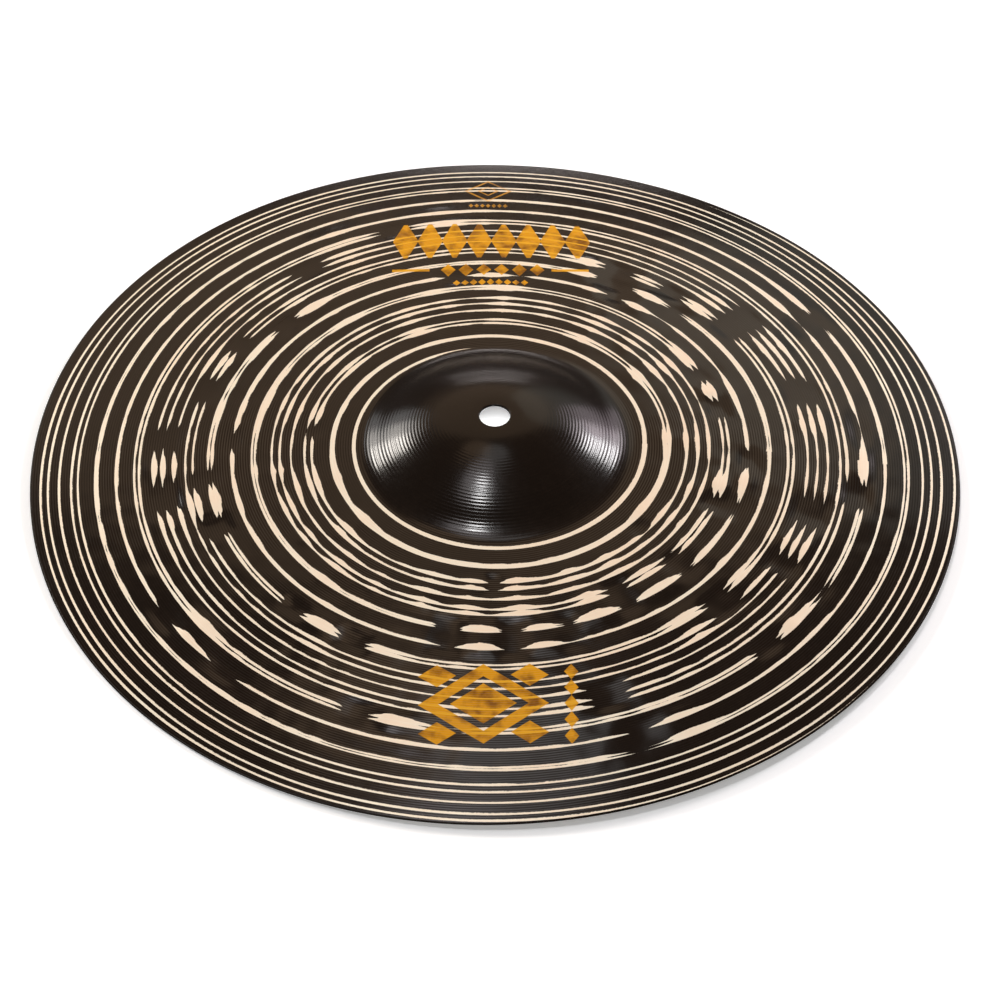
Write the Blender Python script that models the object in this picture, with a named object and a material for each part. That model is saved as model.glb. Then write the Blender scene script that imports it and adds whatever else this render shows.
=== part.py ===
"""Crash cymbal, 16 inch: one disc of bronze with a raised bell, a curved bow and a thin edge.

Metres, with +Z up the axis. The origin is the centre of the circle that the edge rests on.
"""

import math

import bpy

# Driving dimensions of the disc.
RADIUS = 0.2032
HOLE_RADIUS = 0.00675
CROWN_LAND_RADIUS = 0.010  # the flat round the hole, where the felts press
BOW_RISE = 0.0222  # what the bow would rise if it ran on to the axis
BOW_POWER = 2.06
BELL_RISE = 0.0376  # edge to the top of the ball that shapes the bell
BELL_BALL_RADIUS = 0.100
BELL_FILLET_DEPTH = 0.0025  # bell and bow blend where they are closer than this
CROWN_THICKNESS = 0.0011
EDGE_THICKNESS = 0.0008
EDGE_ROUNDING = 0.0002

# Radii between which the outline is divided evenly, and how many spans each stretch gets.
FILLET_START_RADIUS = 0.050
FILLET_END_RADIUS = 0.062
BELL_SPANS = 6
FILLET_SPANS = 5
BOW_SPANS = 8
TURN_STEPS = 96

SLOPE_STEP = 0.00005
MERGE_DISTANCE = 0.00001

BRONZE_COLOUR = (0.030, 0.022, 0.017, 1.0)
BRONZE_ROUGHNESS = 0.38
BRONZE_METALLIC = 0.9


def clear_scene():
    for item in list(bpy.data.objects):
        bpy.data.objects.remove(item, do_unlink=True)


def bow_height(radius):
    """The bow's height above the edge's upper corner."""
    return BOW_RISE * (1 - (radius / RADIUS) ** BOW_POWER)


def bell_height(radius):
    """The bell: a ball's cap, cut off flat inside the crown land."""
    outside_land = max(radius, CROWN_LAND_RADIUS)
    drop = BELL_BALL_RADIUS - math.sqrt(BELL_BALL_RADIUS**2 - outside_land**2)
    return BELL_RISE - drop


def outer_height(radius):
    """The outer face: the higher of bell and bow, with a soft hollow corner between them."""
    bow = bow_height(radius)
    if radius > FILLET_END_RADIUS:
        return bow
    bell = bell_height(radius)
    overlap = max(BELL_FILLET_DEPTH - abs(bell - bow), 0)
    return max(bell, bow) + overlap**2 / (4 * BELL_FILLET_DEPTH)


def upright_thickness(radius):
    """The wall's thickness measured along Z. It thins evenly from the crown land to the edge."""
    way_out = max(radius - CROWN_LAND_RADIUS, 0) / (RADIUS - CROWN_LAND_RADIUS)
    wall = CROWN_THICKNESS + (EDGE_THICKNESS - CROWN_THICKNESS) * way_out
    slope = (outer_height(radius) - outer_height(radius - SLOPE_STEP)) / SLOPE_STEP
    return wall * math.hypot(1, slope)


def spread(start, stop, spans):
    """Evenly spaced radii after start, up to and with stop."""
    return [start + (stop - start) * step / spans for step in range(1, spans + 1)]


def outline():
    """The closed half section, from the hole out along the top, round the edge and back below."""
    rim = RADIUS - EDGE_ROUNDING
    radii = [HOLE_RADIUS, CROWN_LAND_RADIUS]
    radii += spread(CROWN_LAND_RADIUS, FILLET_START_RADIUS, BELL_SPANS)
    radii += spread(FILLET_START_RADIUS, FILLET_END_RADIUS, FILLET_SPANS)
    radii += spread(FILLET_END_RADIUS, rim, BOW_SPANS)
    lift = upright_thickness(rim) - outer_height(rim)
    top = [(radius, outer_height(radius) + lift) for radius in radii]
    middle = [(RADIUS, upright_thickness(rim) / 2)]
    below = [(radius, height - upright_thickness(radius)) for radius, height in reversed(top)]
    return top + middle + below


def bronze_material():
    material = bpy.data.materials.new("dark_bronze")
    material.use_nodes = True
    shader = material.node_tree.nodes["Principled BSDF"]
    shader.inputs["Base Color"].default_value = BRONZE_COLOUR
    shader.inputs["Roughness"].default_value = BRONZE_ROUGHNESS
    shader.inputs["Metallic"].default_value = BRONZE_METALLIC
    return material


def make_cymbal():
    """Turns the half section once round the axis."""
    points = [(radius, 0, height) for radius, height in outline()]
    count = len(points)
    edges = [(index, (index + 1) % count) for index in range(count)]
    mesh = bpy.data.meshes.new("cymbal")
    mesh.from_pydata(points, edges, [])
    cymbal = bpy.data.objects.new("cymbal", mesh)
    bpy.context.scene.collection.objects.link(cymbal)
    mesh.materials.append(bronze_material())
    turn = cymbal.modifiers.new("turn", "SCREW")
    turn.axis = "Z"
    turn.angle = math.tau
    turn.steps = TURN_STEPS
    turn.render_steps = TURN_STEPS
    turn.use_merge_vertices = True
    turn.merge_threshold = MERGE_DISTANCE
    turn.use_smooth_shade = True
    return cymbal


clear_scene()
make_cymbal()
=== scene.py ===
"""The looks of a 16 inch crash cymbal: hammered bronze under a dark skin, cut through by lathe rings.

Everything is in metres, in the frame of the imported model: +Z up the axis, the edge on z = 0. Angles go
anticlockwise from +X, seen from above, so 90 degrees is the far side and 270 degrees is the near side.
"""

import math

import bpy
import numpy as np
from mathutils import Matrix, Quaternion, Vector


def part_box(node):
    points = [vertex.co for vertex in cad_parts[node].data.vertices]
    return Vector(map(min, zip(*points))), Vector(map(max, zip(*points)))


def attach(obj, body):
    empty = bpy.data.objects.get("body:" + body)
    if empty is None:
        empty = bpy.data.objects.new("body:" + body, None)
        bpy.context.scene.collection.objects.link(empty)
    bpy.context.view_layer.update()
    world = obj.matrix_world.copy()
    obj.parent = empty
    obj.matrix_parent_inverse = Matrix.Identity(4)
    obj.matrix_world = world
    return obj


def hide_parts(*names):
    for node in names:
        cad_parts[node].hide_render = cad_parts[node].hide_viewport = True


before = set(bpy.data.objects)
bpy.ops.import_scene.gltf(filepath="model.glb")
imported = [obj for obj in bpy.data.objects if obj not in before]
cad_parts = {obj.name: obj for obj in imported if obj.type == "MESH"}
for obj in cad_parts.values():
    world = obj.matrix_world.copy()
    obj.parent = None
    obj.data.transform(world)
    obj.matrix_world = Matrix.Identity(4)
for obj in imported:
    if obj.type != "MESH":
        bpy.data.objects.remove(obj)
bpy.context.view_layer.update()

MM = 0.001

# ---------------------------------------------------------------- the disc's form
# As in the CAD model, but with a rounder hollow corner where the bell meets the bow.
HIGHEST_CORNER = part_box("cymbal")[1]
RADIUS = HIGHEST_CORNER.x
CROWN_HEIGHT = HIGHEST_CORNER.z
HOLE_RADIUS = 6.75 * MM
CROWN_LAND_RADIUS = 10 * MM
BOW_RISE = 22.2 * MM
BOW_POWER = 2.06
BELL_BALL_RADIUS = 100 * MM
BELL_FILLET_DEPTH = 3.6 * MM
FILLET_END_RADIUS = 64 * MM
CROWN_THICKNESS = 1.1 * MM
EDGE_THICKNESS = 0.8 * MM
LAND_ROUNDING = 0.3 * MM  # how softly the bell's ball turns into its flat land
LAND_SINK = 0.07 * MM  # takes out the height that the rounding adds
SLOPE_STEP = 0.05 * MM

# How finely the disc is divided.
TURN_STEPS = 540
TOP_RINGS = 118
UNDER_RINGS = 44
SEED = 16

PATTERN_CENTRE = (0.33, -0.65)  # mm: the middle of the rings, hammer marks and prints


def bow_height(radius):
    """The wide field's upper face, as if it ran on under the bell."""
    return BOW_RISE * (1 - (radius / RADIUS) ** BOW_POWER) + EDGE_THICKNESS


def bell_height(radius):
    """A ball's cap that turns flat where the felts sit."""
    inside_ball = np.minimum(radius, FILLET_END_RADIUS)
    drop = BELL_BALL_RADIUS - np.sqrt(BELL_BALL_RADIUS**2 - inside_ball**2)
    land = BELL_BALL_RADIUS - math.sqrt(BELL_BALL_RADIUS**2 - CROWN_LAND_RADIUS**2)
    above = drop - land
    flattened = 0.5 * (above + np.sqrt(above**2 + LAND_ROUNDING**2)) - LAND_SINK
    return CROWN_HEIGHT - flattened


def outer_height(radius):
    """The smooth upper face, with the bell and the bow run together by a fillet."""
    bow = bow_height(radius)
    bell = np.where(radius < FILLET_END_RADIUS, bell_height(radius), bow - 2 * BELL_FILLET_DEPTH)
    overlap = np.maximum(BELL_FILLET_DEPTH - np.abs(bell - bow), 0)
    return np.maximum(bell, bow) + overlap**2 / (4 * BELL_FILLET_DEPTH)


def upright_thickness(radius):
    """How far the underside lies straight below the upper face, where the wall is measured square to it."""
    way_out = np.clip((radius - CROWN_LAND_RADIUS) / (RADIUS - CROWN_LAND_RADIUS), 0, 1)
    wall = CROWN_THICKNESS + (EDGE_THICKNESS - CROWN_THICKNESS) * way_out
    slope = (outer_height(radius) - outer_height(radius - SLOPE_STEP)) / SLOPE_STEP
    return wall * np.hypot(1, slope)


# ---------------------------------------------------------------- hammer marks
# Ridges left standing between hammer blows, and the dents beside them. Each has its angle and half its
# length in degrees, the radii in mm that it runs between, and its height or depth in mm.
RIDGES = (
    # angle, inner, outer, half length, height
    (3, 70, 95, 9, 0.17),
    (8.5, 132, 148, 6.5, 0.19),
    (20.5, 95, 104, 6, 0.36),
    (19, 106, 113, 9, 0.13),
    (29, 133, 148, 9, 0.19),
    (34, 70, 105, 8, 0.24),
    (45.5, 125, 143, 6.5, 0.20),
    (38.5, 157, 174, 7, 0.19),
    (47, 82, 97, 6, 0.14),
    (55.5, 107, 124, 6, 0.25),
    (58.5, 126, 134, 5, 0.10),
    (60, 70, 97, 8, 0.22),
    (67, 108, 115, 6, 0.13),
    (71, 116, 134, 5.5, 0.24),
    (75, 82, 97, 6, 0.11),
    (87.5, 80, 105, 8, 0.21),
    (91, 107, 115, 7, 0.24),
    (98, 149, 158, 8, 0.19),
    (99, 160, 167, 9, 0.12),
    (104, 88, 99, 6, 0.14),
    (106, 101, 115, 7, 0.12),
    (115, 70, 98, 8, 0.19),
    (117, 134, 168, 7, 0.16),
    (131.5, 117, 126, 6, 0.28),
    (131.5, 127, 136, 7, 0.12),
    (129, 88, 115, 7, 0.13),
    (133, 141, 151, 7, 0.06),
    (143, 72, 101, 9, 0.17),
    (147, 119, 126, 8, 0.12),
    (154, 90, 99, 5, 0.12),
    (154, 127, 142, 6, 0.20),
    (156, 101, 118, 6, 0.10),
    (165, 75, 109, 9, 0.14),
    (167, 111, 117, 8, 0.14),
    (168, 119, 127, 7, 0.07),
    (181.5, 137, 153, 6.5, 0.19),
    (188, 90, 101, 5, 0.17),
    (192.5, 119, 139, 6, 0.26),
    (194, 112, 117, 6, 0.08),
    (196, 138, 153, 8, 0.12),
    (196, 65, 90, 9, 0.22),
    (202, 90, 101, 7, 0.20),
    (207.5, 112, 118, 5, 0.06),
    (213, 90, 101, 6, 0.13),
    (218.5, 67, 88, 9, 0.21),
    (226, 88, 108, 7, 0.18),
    (217.5, 153, 169, 6.5, 0.22),
    (232, 112, 119, 5, 0.10),
    (233.5, 120, 130, 6, 0.28),
    (234.5, 131, 138, 8, 0.13),
    (238, 90, 101, 5, 0.14),
    (247, 121, 130, 8, 0.13),
    (251, 76, 102, 8, 0.18),
    (254, 153, 163, 6, 0.28),
    (256, 165, 172, 8, 0.10),
    (262.5, 80, 102, 6, 0.18),
    (266.5, 102, 121, 6, 0.26),
    (276, 77, 102, 8, 0.24),
    (279.5, 102, 121, 7, 0.17),
    (282, 141, 154, 6, 0.13),
    (291.5, 77, 93, 8, 0.21),
    (294, 94, 113, 7, 0.31),
    (296, 140, 163, 7, 0.05),
    (297, 164, 181, 7, 0.20),
    (305, 77, 94, 8, 0.24),
    (310, 94, 113, 8, 0.23),
    (309, 122, 142, 7, 0.21),
    (316, 77, 93, 6, 0.13),
    (322, 154, 163, 6, 0.28),
    (323, 165, 172, 6, 0.08),
    (325, 94, 138, 7, 0.14),
    (329, 71, 93, 9, 0.17),
    (333, 94, 102, 6, 0.13),
    (337.5, 131, 148, 6, 0.22),
    (343, 84, 94, 8, 0.13),
    (347, 94, 104, 7, 0.35),
    (349.5, 105, 114, 8, 0.25),
    (353, 131, 148, 6, 0.07),
    (359.5, 154, 164, 7, 0.28),
)
DENTS = (
    # angle, inner, outer, half length, depth
    (7, 157, 164, 5, 0.20),
    (15, 96, 105, 4, 0.34),
    (16.5, 132, 149, 4, 0.22),
    (27, 96, 105, 3.5, 0.30),
    (28, 106, 113, 3, 0.16),
    (33, 157, 173, 3.5, 0.24),
    (38, 126, 148, 4.5, 0.28),
    (48.5, 108, 123, 4.5, 0.18),
    (52.5, 126, 134, 3.5, 0.26),
    (61.5, 108, 123, 4, 0.28),
    (65, 116, 135, 4, 0.34),
    (84.5, 108, 115, 3, 0.24),
    (99, 107, 116, 4, 0.32),
    (107, 149, 159, 4, 0.20),
    (125, 140, 152, 4, 0.20),
    (139, 118, 127, 4, 0.34),
    (149, 128, 138, 3.5, 0.26),
    (162, 128, 138, 4, 0.26),
    (173, 76, 83, 4, 0.18),
    (176, 111, 119, 4, 0.32),
    (175.8, 138, 153, 3.5, 0.24),
    (187, 120, 135, 3, 0.22),
    (189, 138, 154, 4, 0.26),
    (199.5, 121, 135, 3, 0.28),
    (212.5, 162, 171, 3.5, 0.32),
    (226, 162, 171, 4, 0.30),
    (227, 122, 129, 3.5, 0.28),
    (241, 121, 130, 4, 0.32),
    (248.8, 152, 163, 3.5, 0.28),
    (259.5, 102, 121, 3.5, 0.26),
    (262.5, 154, 162, 3, 0.14),
    (269.5, 78, 89, 3, 0.24),
    (273.5, 102, 122, 3.5, 0.30),
    (286, 103, 122, 3, 0.18),
    (288.5, 141, 155, 4, 0.28),
    (291, 163, 181, 3.5, 0.22),
    (301, 94, 113, 3.5, 0.24),
    (316.8, 125, 138, 4.5, 0.24),
    (316.5, 154, 163, 3.5, 0.28),
    (318.5, 98, 113, 4, 0.20),
    (321, 77, 84, 3.5, 0.16),
    (331, 157, 163, 3.5, 0.16),
    (332, 132, 146, 3, 0.24),
    (341, 95, 113, 4, 0.24),
    (345.8, 132, 148, 4.5, 0.24),
    (352.8, 152, 164, 3.5, 0.30),
    (356.7, 106, 115, 4, 0.30),
)
FADE = 2.5  # mm that a ridge or dent takes to fade at its inner and outer end
RIDGE_SHARPNESS = 1.15
DENT_SPREAD = 1.3
DENT_SHARPNESS = 1.5
HAMMER_GAIN = 1.6  # the mesh moves this many times the relief that the cut follows
WARP_TWIST, WARP_TRIPLE, WARP_DOUBLE = -1.8, 0.6, 0.4  # mm at the edge
SMALL_WAVES = 24
SMALL_HEIGHT = 0.028  # mm
SMALL_LENGTHS = (9, 22)  # mm
BROAD_WAVES = 10
BROAD_HEIGHT = 0.05  # mm
BROAD_LENGTHS = (50, 110)  # mm
# Radii and distances in mm, over which the marks and the waves fade at the bell and at the edge.
MARKS_START = 60
MARKS_FADE_IN = 12
MARKS_STOP = 190
MARKS_FADE_OUT = 14
BROAD_FADE_IN = 30


def window(radius, inner, outer):
    """1 between two radii in mm, falling smoothly to 0 outside them."""
    rise = np.clip((radius - inner) / FADE + 0.5, 0, 1)
    fall = np.clip((outer - radius) / FADE + 0.5, 0, 1)
    level = rise * fall
    return level * level * (3 - 2 * level)


def hammer_relief(x, y):
    """The height of the hammer marks in mm, at x and y in mm from PATTERN_CENTRE."""
    radius = np.hypot(x, y)
    angle = np.degrees(np.arctan2(y, x))
    relief = np.zeros_like(x)
    for middle, inner, outer, half, height in RIDGES:
        away = np.abs((angle - middle + 180) % 360 - 180) / half
        relief += height * window(radius, inner, outer) * np.maximum(1 - away, 0) ** RIDGE_SHARPNESS
    for middle, inner, outer, half, depth in DENTS:
        away = np.abs((angle - middle + 180) % 360 - 180) / (DENT_SPREAD * half)
        relief -= depth * window(radius, inner, outer) * np.maximum(1 - away**2, 0) ** DENT_SHARPNESS
    return relief


def saddle(radius, angle):
    """A slow warp in mm, with the edge low at the far right and the near left."""
    reach = (radius / (RADIUS / MM)) ** 2
    twist = WARP_TWIST * np.sin(2 * angle)
    return reach * (twist + WARP_TRIPLE * np.sin(3 * angle) + WARP_DOUBLE * np.cos(2 * angle))


def wander(x, y, rng, count, shortest, longest):
    """Smooth random unevenness, mostly within 1 either way, made of a few crossing waves."""
    total = np.zeros_like(x)
    for _ in range(count):
        length = rng.uniform(shortest, longest)
        heading = rng.uniform(0, math.tau)
        offset = rng.uniform(0, math.tau)
        total += np.sin((x * math.cos(heading) + y * math.sin(heading)) * math.tau / length + offset)
    return total / math.sqrt(count)


def relief_at(x, y):
    """Two heights in mm: the hammer marks, which are nothing on the bell, and the broad waves and warp."""
    rng = np.random.default_rng(SEED)
    radius = np.hypot(x, y)
    marks = hammer_relief(x - PATTERN_CENTRE[0], y - PATTERN_CENTRE[1])
    small = SMALL_HEIGHT * wander(x, y, rng, SMALL_WAVES, *SMALL_LENGTHS)
    broad = BROAD_HEIGHT * wander(x, y, rng, BROAD_WAVES, *BROAD_LENGTHS)
    broad = broad * np.clip((radius - MARKS_START) / BROAD_FADE_IN, 0, 1)
    inner = np.clip((radius - MARKS_START) / MARKS_FADE_IN, 0, 1)
    outer = np.clip((MARKS_STOP - radius) / MARKS_FADE_OUT, 0, 1)
    return inner * outer * (marks + small), broad + saddle(radius, np.arctan2(y, x))


# ---------------------------------------------------------------- the disc's mesh
def ring_radii(count):
    """Radii from the hole to the edge, closer together over the crown and the bell's hollow corner."""
    knots = [HOLE_RADIUS + 0.3 * MM, 14 * MM, 48 * MM, 64 * MM, RADIUS - 0.6 * MM]
    weights = [0.06, 0.16, 0.12, 0.66]  # each stretch's share of the rings
    radii = [HOLE_RADIUS, knots[0]]
    for start, stop, weight in zip(knots, knots[1:], weights):
        steps = max(2, round(count * weight))
        radii += list(np.linspace(start, stop, steps + 1)[1:])
    radii.append(RADIUS - 0.2 * MM)
    return np.array(radii)


def make_cymbal():
    """One closed mesh: the upper face from the hole out, round the edge, and back along the underside."""
    top = ring_radii(TOP_RINGS)
    under = ring_radii(UNDER_RINGS)[::-1]
    angles = np.arange(TURN_STEPS) * math.tau / TURN_STEPS
    rings = []
    reliefs = []
    for radius in top:
        x, y = radius * np.cos(angles), radius * np.sin(angles)
        relief, broad = relief_at(x / MM, y / MM)
        height = outer_height(np.full_like(x, radius)) + (relief * HAMMER_GAIN + broad) * MM
        rings.append(np.stack([x, y, height], 1))
        reliefs.append(relief)
    edge = np.full(TURN_STEPS, RADIUS)
    edge_relief = relief_at(edge * np.cos(angles) / MM, edge * np.sin(angles) / MM)[1] * MM
    for height in (EDGE_THICKNESS * 0.75, EDGE_THICKNESS * 0.25):
        ring = [edge * np.cos(angles), edge * np.sin(angles), height + edge_relief]
        rings.append(np.stack(ring, 1))
        reliefs.append(np.zeros(TURN_STEPS))
    for radius in under:
        x, y = radius * np.cos(angles), radius * np.sin(angles)
        relief, broad = relief_at(x / MM, y / MM)
        full = np.full_like(x, radius)
        height = outer_height(full) - upright_thickness(full) + (relief * HAMMER_GAIN + broad) * MM
        rings.append(np.stack([x, y, height], 1))
        reliefs.append(relief)
    points = np.concatenate(rings)
    count = len(rings)
    ring_index = np.arange(count)[:, None] * TURN_STEPS
    next_ring = ((np.arange(count) + 1) % count)[:, None] * TURN_STEPS
    step = np.arange(TURN_STEPS)[None, :]
    next_step = (step + 1) % TURN_STEPS
    faces = np.stack(
        [ring_index + step, next_ring + step, next_ring + next_step, ring_index + next_step], -1
    ).reshape(-1, 4)
    mesh = bpy.data.meshes.new("cymbal_disc")
    mesh.from_pydata(points.tolist(), [], faces.tolist())
    mesh.attributes.new("relief", "FLOAT", "POINT")
    mesh.attributes["relief"].data.foreach_set("value", np.concatenate(reliefs))
    mesh.shade_smooth()
    under_side = np.repeat(np.arange(count) > len(top), TURN_STEPS)
    mesh.polygons.foreach_set("material_index", under_side.astype(np.int32))
    mesh.update()
    disc = bpy.data.objects.new("cymbal_disc", mesh)
    bpy.context.scene.collection.objects.link(disc)
    return disc


# ---------------------------------------------------------------- materials
class Field:
    """A number that varies over a surface, worked out by Math nodes."""

    def __init__(self, tree, socket):
        self.tree = tree
        self.socket = socket

    def math(self, operation, *others, clamp=False):
        node = self.tree.nodes.new("ShaderNodeMath")
        node.operation = operation
        node.use_clamp = clamp
        for slot, value in enumerate((self, *others)):
            if isinstance(value, Field):
                self.tree.links.new(value.socket, node.inputs[slot])
            else:
                node.inputs[slot].default_value = value
        return Field(self.tree, node.outputs[0])

    def __add__(self, other):
        return self.math("ADD", other)

    def __sub__(self, other):
        return self.math("SUBTRACT", other)

    def __rsub__(self, other):
        return (self * -1) + other

    def __mul__(self, other):
        return self.math("MULTIPLY", other)

    def __truediv__(self, other):
        return self.math("DIVIDE", other)

    def __abs__(self):
        return self.math("ABSOLUTE")

    __radd__ = __add__
    __rmul__ = __mul__

    def higher(self, other):
        return self.math("MAXIMUM", other)

    def lower(self, other):
        return self.math("MINIMUM", other)

    def sine(self):
        return self.math("SINE")

    def fraction(self):
        return self.math("FRACT")

    def ramp(self, start, stop):
        """0 below start, 1 above stop, and a straight rise between."""
        return ((self - start) / (stop - start)).math("MULTIPLY", 1, clamp=True)


def plan_fields(tree, centre):
    """x and y in mm from a centre, the distance from it, and the part of a turn from +X."""
    place = tree.nodes.new("ShaderNodeTexCoord")
    split = tree.nodes.new("ShaderNodeSeparateXYZ")
    tree.links.new(place.outputs["Object"], split.inputs[0])
    x = Field(tree, split.outputs[0]) / MM - centre[0]
    y = Field(tree, split.outputs[1]) / MM - centre[1]
    radius = (x * x + y * y).math("SQRT")
    turn = (y.math("ARCTAN2", x) / math.tau).fraction()
    return x, y, radius, turn


def noise(tree, scale, detail=3.0, along=None):
    """Smooth noise around 0.5, over the whole surface or along one Field only."""
    node = tree.nodes.new("ShaderNodeTexNoise")
    node.inputs["Detail"].default_value = detail
    node.inputs["Scale"].default_value = scale
    if along is None:
        place = tree.nodes.new("ShaderNodeTexCoord")
        tree.links.new(place.outputs["Object"], node.inputs["Vector"])
    else:
        node.noise_dimensions = "1D"
        tree.links.new(along.socket, node.inputs["W"])
    return Field(tree, node.outputs["Fac"])


def blend(tree, factor, first, second):
    """A colour between two others, where each is a colour or a socket."""
    node = tree.nodes.new("ShaderNodeMix")
    node.data_type = "RGBA"
    tree.links.new(factor.socket, node.inputs["Factor"])
    for name, colour in (("A", first), ("B", second)):
        if isinstance(colour, tuple):
            node.inputs[name].default_value = (*colour, 1)
        else:
            tree.links.new(colour, node.inputs[name])
    return node.outputs["Result"]


# Each turn of the bright spiral: its distance from the axis in mm where it crosses +X, half a turn on and a
# whole turn on, and its width at the start and the end. Turns split and join where they share a radius.
SPIRAL_TURNS = (
    (60.3, 61.6, 64.9, 1.1, 2.3),
    (64.9, 71.0, 74.8, 1.8, 2.9),
    (73.9, 80.0, 83.2, 1.05, 1.15),
    (75.8, 83.1, 88.2, 0.9, 1),
    (83.2, 89.0, 93.1, 1, 0.7),
    (88.2, 94.0, 99.1, 0.8, 0.9),
    (93.1, 97.5, 101.6, 0.7, 0.9),
    (99.1, 104.7, 109.3, 1, 1.2),
    (101.6, 106.1, 110.1, 1, 1.2),
    (109.7, 114.7, 119.2, 1.7, 1.7),
    (118.7, 123.5, 127.5, 1.2, 1.1),
    (119.8, 125.2, 129.9, 1.2, 1.1),
    (127.5, 131.9, 136.1, 1.2, 0.9),
    (129.9, 135.1, 140.4, 1.2, 0.9),
    (136.1, 140.3, 144.9, 0.9, 0.9),
    (140.4, 145.2, 150.3, 0.9, 1.2),
    (144.9, 149.1, 153.2, 1, 1.2),
    (150.3, 155.4, 159.9, 1.1, 1.3),
    (153.2, 157.5, 161.6, 1.1, 1.2),
    (160.9, 165.4, 170.0, 1.9, 1.2),
    (169.6, 173.8, 178.5, 1, 1),
    (170.5, 174.7, 180.3, 1, 1),
    (178.5, 182.3, 186.5, 1, 0.95),
    (180.3, 185.2, 190.4, 1, 0.95),
    (186.5, 190.6, 194.8, 0.95, 1),
    (190.4, 195.4, 200.5, 1, 1),
    (194.8, 198.7, 203.6, 1, 1),
    (200.5, 202.5, 204.9, 1.0, 0.8),
)
GROOVE_PITCH = 1.12  # mm
GROOVE_DEPTH = 0.10
RIB_PITCH = 1.4  # mm
RIBS_START = (17, 30)  # the crown is smooth
BOW_START = (54, 62)
EDGE_START = (202.6, 202.9)
RELIEF_GAIN = 6.0
FIRST_CUT_TURN = 0.275  # where the tool first touches, just past the far side
LAST_CUT_TURN = 0.165  # where it leaves the last turn, at the far right
CUT_TAPER = 15.0  # mm of half width per turn, at the spiral's two ends
OUTER_FLANK = 2.5  # a ring's outer side is cut this much steeper than its inner side
RIM_MARGIN = 202.4  # mm: the rings stop here


# ---------------------------------------------------------------- the prints
def lozenge(x, y, half_width, half_height):
    """Above 0 inside a lozenge, in mm from its side."""
    return (1 - abs(x) / half_width - abs(y) / half_height) * min(half_width, half_height) * 0.8


def block(x, y, half_width, half_height):
    """Above 0 inside a rectangle, in mm from its side."""
    return (half_width - abs(x)).lower(half_height - abs(y))


def repeated(x, pitch):
    """The distance from the nearest of many middles, one pitch apart, with one at 0."""
    return ((x / pitch + 0.5).fraction() - 0.5) * pitch


def far_print(x, y):
    """A band of tall lozenges, a row of small ones between two bars, and dots."""
    y_band = y - 138.8
    x_band = x + 1.5
    pitch = 11.1
    tall = lozenge(repeated(x_band + pitch / 2, pitch), y_band, 5.8, 15.5)
    band = tall.lower(block(x_band, y_band, 44.4, 13.2))
    y_row = y - 116.3
    x_row = x + 1.0
    row = lozenge(repeated(x_row + 4, 8.0), y_row, 3.3, 4.4).lower(24 - abs(x_row))
    bars = block(abs(x + 2) - 35.8, y_row, 8.4, 0.9)
    dots = lozenge(repeated(x + 2, 3.8), y - 106.8, 1.7, 2.2).lower(17.2 - abs(x + 2))
    return band.higher(row).higher(bars).higher(dots)


def near_print(x, y):
    """Nested lozenges with a small one in each corner, and a column of small ones beside them."""
    across = x + 5.5
    along = y + 144.7
    whole = lozenge(across, along, 27.5, 19.8)
    gap = lozenge(across, along, 19.0, 13.6)
    heart = lozenge(across, along, 14.0, 10.0)
    corners = lozenge(abs(across) - 19.5, abs(along) - 14.2, 8.0, 5.6)
    column = lozenge(x - 31.5, repeated(along, 8.0), 3.0, 3.9).lower(19.9 - abs(along))
    return whole.lower(gap * -1).higher(heart).higher(corners).higher(column)


def hallmark(x, y):
    """A thin lozenge outline with a small row of dots under it."""
    frame_line = lozenge(x + 3, y - 180, 11.0, 9.0)
    inner_line = lozenge(x + 3, y - 180, 5.0, 4.2)
    dots = lozenge(repeated(x + 3, 2.6), y - 167.5, 1.1, 1.5).lower(9.0 - abs(x + 3))
    return (0.5 - abs(frame_line - 0.6)).higher(0.4 - abs(inner_line - 0.5)).higher(dots)


# ---------------------------------------------------------------- the dark bronze
# Softness is in mm, on each side of an outline.
PRINT_SOFTNESS = 0.12
CUT_SOFTNESS = 0.07
NICK_DEPTH = 0.35
RIB_HEIGHT = 0.013 * MM
SKIN_ROUGHNESS = 0.155
CUT_ROUGHNESS = 0.30  # added on bare metal
EDGE_ROUGHNESS = 0.35  # added on the matt edge
INK_ROUGHNESS = 0.25  # added on the prints
CUT_METALLIC = 0.2
SKIN_GLOSS = 0.27
# How fine each kind of noise is.
NICK_SCALE = 900
GRAIN_SCALE = 420
BLOT_SCALE = 160
FADE_SCALE = 60
CLOUD_SCALE = 22
STREAK_SCALE = 1.7
# Skin tones, dark and light. The light one is also used for the painted sheen on the bow's grooves.
SKIN_DARK = (0.0086, 0.0046, 0.0024)
SKIN_WORN_AND_SHEEN = (0.0180, 0.0105, 0.0060)
BARE_CREAM = (0.88, 0.81, 0.655)
BARE_PEACH = (0.87, 0.69, 0.515)
INK_DEEP = (0.22, 0.078, 0.003)
INK_BRIGHT = (0.66, 0.285, 0.006)
INK_ON_METAL = (0.74, 0.36, 0.018)


def ring_cuts(rim_radius, radius, turn, relief, groove):
    """How deep the tool cut through the skin, where anything above 0 shows bare metal."""
    cut = radius * 0 - 5
    for number, (start, half_way, stop, width, width_after) in enumerate(SPIRAL_TURNS, 1):
        bend = 2 * (start - 2 * half_way + stop)
        lean = stop - start - bend
        centre = (turn * bend + lean) * turn + start
        half_width = turn * ((width_after - width) / 2) + width / 2
        if number == 1:
            half_width = half_width.lower((turn - FIRST_CUT_TURN) * CUT_TAPER)
        if number == len(SPIRAL_TURNS):
            half_width = half_width.lower((LAST_CUT_TURN - turn) * CUT_TAPER)
        out = radius - centre
        cut = cut.higher((half_width + out).lower((half_width - out) * OUTER_FLANK))
    cut = cut.lower(RIM_MARGIN - rim_radius)
    return cut + relief * RELIEF_GAIN + groove * GROOVE_DEPTH


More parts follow.
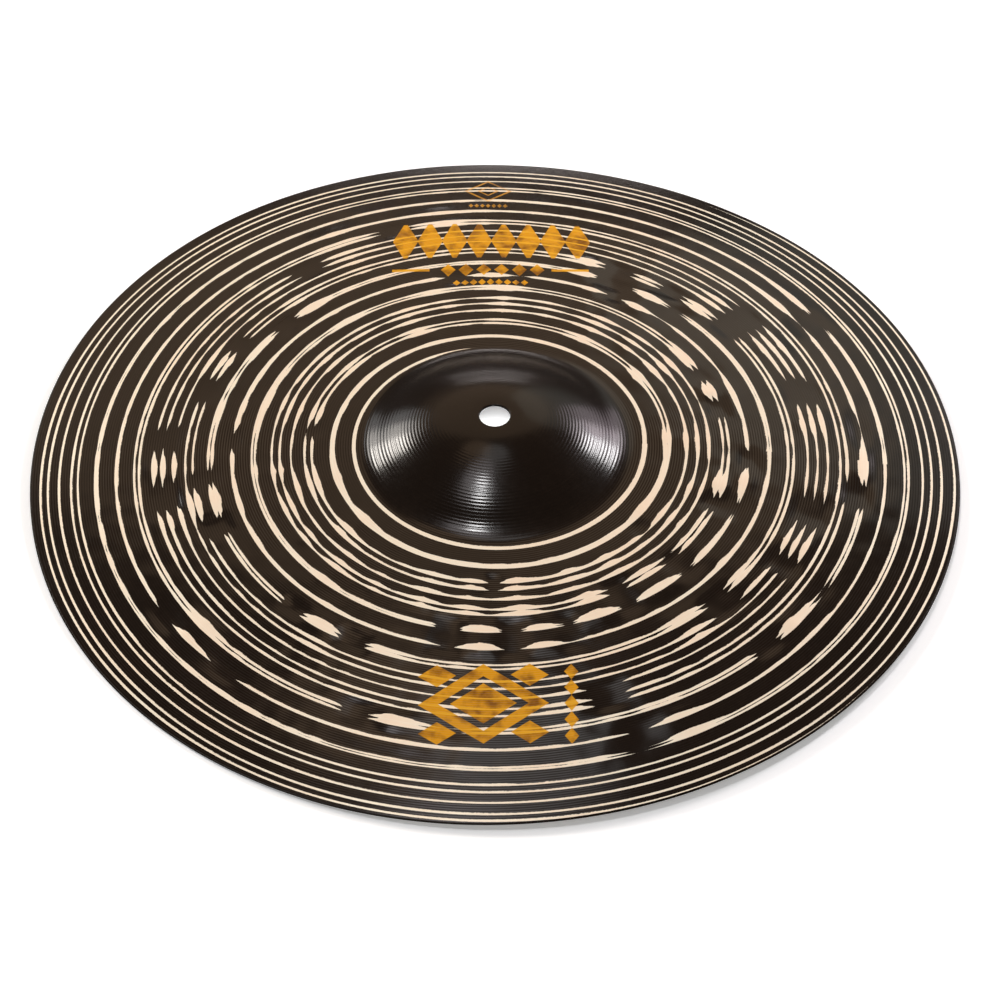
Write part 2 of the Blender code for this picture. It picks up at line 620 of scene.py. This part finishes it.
def dark_bronze(top):
    """Dark skin and bare rings, with the prints on the upper face only."""
    material = bpy.data.materials.new("dark_bronze_top" if top else "dark_bronze_under")
    material.use_nodes = True
    tree = material.node_tree
    nodes, links = tree.nodes, tree.links
    shader = nodes["Principled BSDF"]
    x, y, radius, turn = plan_fields(tree, PATTERN_CENTRE)
    disc_radius = plan_fields(tree, (0, 0))[2]

    relief_node = nodes.new("ShaderNodeAttribute")
    relief_node.attribute_name = "relief"
    relief = Field(tree, relief_node.outputs["Fac"])

    groove = ((radius / GROOVE_PITCH - turn) * math.tau).sine()
    bow = disc_radius.ramp(*BOW_START)
    edge = disc_radius.ramp(*EDGE_START)
    nicks = noise(tree, NICK_SCALE, 2.0) - 0.5
    cut = ring_cuts(disc_radius, radius, turn, relief, groove) + nicks * NICK_DEPTH
    bare = cut.ramp(-CUT_SOFTNESS, CUT_SOFTNESS)

    clouds = noise(tree, CLOUD_SCALE)
    grain = noise(tree, GRAIN_SCALE)
    streaks = noise(tree, STREAK_SCALE, 4.0, radius)
    # The skin's tone has three parts: the bow's lathe grooves painted in as light and dark stripes, which
    # is a painted sheen; the bow's skin made lighter than the bell's; and uneven wear from the clouds,
    # grain and streaks.
    wear_and_groove_sheen = groove * bow * 0.28 + bow * 0.3 + (clouds - 0.5) * 1.1
    wear_and_groove_sheen = wear_and_groove_sheen + (grain - 0.5) * 0.5 + (streaks - 0.5) * 0.6
    skin = blend(tree, wear_and_groove_sheen.ramp(0, 1), SKIN_DARK, SKIN_WORN_AND_SHEEN)
    warm = (streaks - 0.5) * 1.3 + (clouds - 0.5) * 1.6 + relief * 1.6 + 0.45
    metal = blend(tree, warm.ramp(0, 1), BARE_CREAM, BARE_PEACH)
    colour = blend(tree, bare, skin, metal)
    rough = bare * CUT_ROUGHNESS + edge * EDGE_ROUGHNESS - bow * 0.02 + SKIN_ROUGHNESS
    rough = rough + (clouds - 0.5) * 0.10 + (grain - 0.5) * 0.06

    metallic = bare * CUT_METALLIC
    if top:
        blots = noise(tree, BLOT_SCALE, 4.0)
        fade = noise(tree, FADE_SCALE, 3.0)
        density = (blots - 0.5) * 3.4 + (fade - 0.5) * 2.6 + 0.72
        ink_on_skin = blend(tree, density.ramp(0, 1), INK_DEEP, INK_BRIGHT)
        ink = blend(tree, bare, ink_on_skin, INK_ON_METAL)
        printed = far_print(x, y).higher(near_print(x, y)).ramp(-PRINT_SOFTNESS, PRINT_SOFTNESS)
        faint = hallmark(x, y).ramp(-PRINT_SOFTNESS, PRINT_SOFTNESS) * (0.35 + density.ramp(0, 1) * 0.3)
        inked = printed.higher(faint)
        colour = blend(tree, inked, colour, ink)
        rough = rough + inked * INK_ROUGHNESS
        metallic = metallic * (1 - inked)
    links.new(colour, shader.inputs["Base Color"])
    links.new(metallic.socket, shader.inputs["Metallic"])
    links.new(rough.socket, shader.inputs["Roughness"])
    gloss = groove * bow * (clouds * 0.3 + 0.05) + bow * 0.08 + SKIN_GLOSS - edge * 0.2
    if top:
        gloss = gloss - inked * 0.2
    links.new(gloss.socket, shader.inputs["Specular IOR Level"])

    bump = nodes.new("ShaderNodeBump")
    bump.inputs["Distance"].default_value = RIB_HEIGHT
    ribs = (disc_radius / RIB_PITCH * math.tau).sine() * disc_radius.ramp(*RIBS_START) * (1 - bow)
    links.new((ribs + (groove * 0.25 + (grain - 0.5) * 0.15) * bow).socket, bump.inputs["Height"])
    links.new(bump.outputs["Normal"], shader.inputs["Normal"])
    return material


# ---------------------------------------------------------------- floor, lights and camera
FLOOR_GAP = 2.6 * MM
FLOOR_HALF_WIDTH = 6.0
FLOOR_GLOW = 0.21
BACKDROP_RADIUS = 4.3
BACKDROP_HEIGHT = 4.0
BACKDROP_SIDES = 96
BACKDROP_GLOW = 0.95


def make_floor():
    mesh = bpy.data.meshes.new("floor")
    half = FLOOR_HALF_WIDTH
    corners = [(-half, -half, 0), (half, -half, 0), (half, half, 0), (-half, half, 0)]
    mesh.from_pydata(corners, [], [(0, 1, 2, 3)])
    floor = bpy.data.objects.new("floor", mesh)
    bpy.context.scene.collection.objects.link(floor)
    floor.location.z = -FLOOR_GAP
    material = bpy.data.materials.new("floor_white")
    material.use_nodes = True
    shader = material.node_tree.nodes["Principled BSDF"]
    shader.inputs["Base Color"].default_value = (0.98, 0.98, 0.98, 1)
    shader.inputs["Roughness"].default_value = 1.0
    shader.inputs["Emission Color"].default_value = (1, 1, 1, 1)
    shader.inputs["Emission Strength"].default_value = FLOOR_GLOW
    mesh.materials.append(material)
    floor.visible_glossy = False


def make_backdrop():
    """A white round wall behind everything, which lights nothing and casts no shadow."""
    points = []
    for number in range(BACKDROP_SIDES):
        angle = number * math.tau / BACKDROP_SIDES
        for height in (-FLOOR_GAP, BACKDROP_HEIGHT):
            points.append((BACKDROP_RADIUS * math.cos(angle), BACKDROP_RADIUS * math.sin(angle), height))
    count = len(points)
    faces = [(low, low + 1, (low + 3) % count, (low + 2) % count) for low in range(0, count, 2)]
    mesh = bpy.data.meshes.new("backdrop")
    mesh.from_pydata(points, [], faces)
    backdrop = bpy.data.objects.new("backdrop", mesh)
    bpy.context.scene.collection.objects.link(backdrop)
    material = bpy.data.materials.new("backdrop_white")
    material.use_nodes = True
    shader = material.node_tree.nodes["Principled BSDF"]
    shader.inputs["Base Color"].default_value = (0.9, 0.9, 0.9, 1)
    shader.inputs["Emission Color"].default_value = (1, 1, 1, 1)
    shader.inputs["Emission Strength"].default_value = BACKDROP_GLOW
    mesh.materials.append(material)
    backdrop.visible_diffuse = False
    backdrop.visible_glossy = False
    backdrop.visible_shadow = False


LIGHT_DISTANCE = 4.0


def softbox(name, azimuth, elevation, width, height, radiance, colour=(1, 1, 1), roll=0, round_shape=True):
    """A light that faces the disc from LIGHT_DISTANCE. Its angles are degrees, anticlockwise from +X."""
    light = bpy.data.lights.new(name, "AREA")
    light.shape = "ELLIPSE" if round_shape else "RECTANGLE"
    light.size = width
    light.size_y = height
    light.energy = radiance * math.pi * width * height
    light.color = colour
    lamp = bpy.data.objects.new(name, light)
    bpy.context.scene.collection.objects.link(lamp)
    a, e = math.radians(azimuth), math.radians(elevation)
    away = Vector((math.cos(a) * math.cos(e), math.sin(a) * math.cos(e), math.sin(e)))
    lamp.location = away * LIGHT_DISTANCE
    turned = Quaternion((0, 0, 1), math.radians(roll))
    lamp.rotation_euler = (away.to_track_quat("Z", "Y") @ turned).to_euler()
    lamp.visible_camera = False


CAMERA_DISTANCE = 2.6
CAMERA_ELEVATION = 45.23
CAMERA_ROLL = 0.19
PIXELS_WIDE = 992
PIXELS_PER_MM = 2.285
# The camera aims near the origin, moved down the picture and then along X and Z.
AIM_SINK = 8.9 * MM
AIM_SHIFT = (0.45 * MM, 0, 0.8 * MM)
SKY_COLOUR = (0.95, 0.98, 1.0, 1)
SKY_STRENGTH = 0.09


def make_camera():
    camera = bpy.data.objects.new("camera", bpy.data.cameras.new("camera"))
    bpy.context.scene.collection.objects.link(camera)
    tilt = math.radians(CAMERA_ELEVATION)
    camera.location = (0, -CAMERA_DISTANCE * math.cos(tilt), CAMERA_DISTANCE * math.sin(tilt))
    upward = Vector((0, math.sin(tilt), math.cos(tilt)))
    target = upward * -AIM_SINK + Vector(AIM_SHIFT)
    look = (camera.location - target).to_track_quat("Z", "Y")
    roll = Quaternion((0, 0, 1), -math.radians(CAMERA_ROLL))
    camera.rotation_euler = (look @ roll).to_euler()
    view_width = PIXELS_WIDE / PIXELS_PER_MM * MM
    camera.data.lens = camera.data.sensor_width * CAMERA_DISTANCE / view_width
    bpy.context.scene.camera = camera


def make_world():
    world = bpy.data.worlds.new("studio")
    bpy.context.scene.world = world
    world.use_nodes = True
    background = world.node_tree.nodes["Background"]
    background.inputs["Color"].default_value = SKY_COLOUR
    background.inputs["Strength"].default_value = SKY_STRENGTH


make_camera()
make_world()
make_floor()
make_backdrop()
softbox("top_core", 192, 83, 0.46, 0.40, 50)
softbox("top_wing", 150, 80, 1.5, 0.90, 2.8, (1.0, 0.92, 0.94))
softbox("left_core", 138, 33, 0.30, 0.80, 39, (1.0, 0.94, 0.86), roll=-45, round_shape=False)
softbox("left_halo", 134, 30, 0.95, 1.5, 6, (1.0, 0.93, 0.86), roll=-45)
softbox("left_wing", 130, 26, 1.4, 1.9, 1.4, roll=-45)
softbox("right_core", 42, 32, 0.30, 0.80, 43, roll=45, round_shape=False)
softbox("right_halo", 46, 29, 0.95, 1.5, 6, (1.0, 0.89, 0.94), roll=45)
softbox("right_wing", 52, 24, 1.5, 1.9, 1.6, (1.0, 0.83, 0.92), roll=45)
softbox("back_strip", 90.5, 12.5, 1.4, 0.20, 4.0, (1.0, 0.91, 0.88))
softbox("back_wing", 90, 11, 2.0, 0.30, 0.4, (1.0, 0.86, 0.80))
softbox("back_card", 93, 40, 3.3, 2.9, 0.53, (1.0, 0.70, 0.45))
softbox("side_card", 68, 29, 1.9, 2.2, 0.40, (0.97, 1.0, 0.90))
softbox("near_glow", 90, 71, 0.8, 0.9, 1.1)
softbox("near_card", 110, 66, 0.9, 0.8, 0.9, (1.0, 0.68, 0.43))
softbox("left_fill", 172, 25, 2.0, 2.0, 1.7)
softbox("right_fill", 8, 25, 2.0, 2.0, 1.7)
softbox("front_fill", 270, 42, 3.6, 1.8, 1.0)


HOLE_LIGHT_SIZE = 20 * MM
HOLE_LIGHT_PLACE = (0, 26 * MM, 7 * MM)
HOLE_LIGHT_RADIANCE = 5


def make_hole_light():
    """A small lamp under the bell, so that the floor looks white through the hole."""
    light = bpy.data.lights.new("hole_light", "AREA")
    light.shape = "DISK"
    light.size = HOLE_LIGHT_SIZE
    light.energy = HOLE_LIGHT_RADIANCE * math.pi * math.pi * (HOLE_LIGHT_SIZE / 2) ** 2
    lamp = bpy.data.objects.new("hole_light", light)
    bpy.context.scene.collection.objects.link(lamp)
    lamp.location = HOLE_LIGHT_PLACE
    lamp.visible_camera = False


make_hole_light()
bpy.context.scene.view_settings.view_transform = "Standard"

disc = make_cymbal()
disc.data.materials.append(dark_bronze(True))
disc.data.materials.append(dark_bronze(False))
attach(disc, "root")
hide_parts("cymbal")
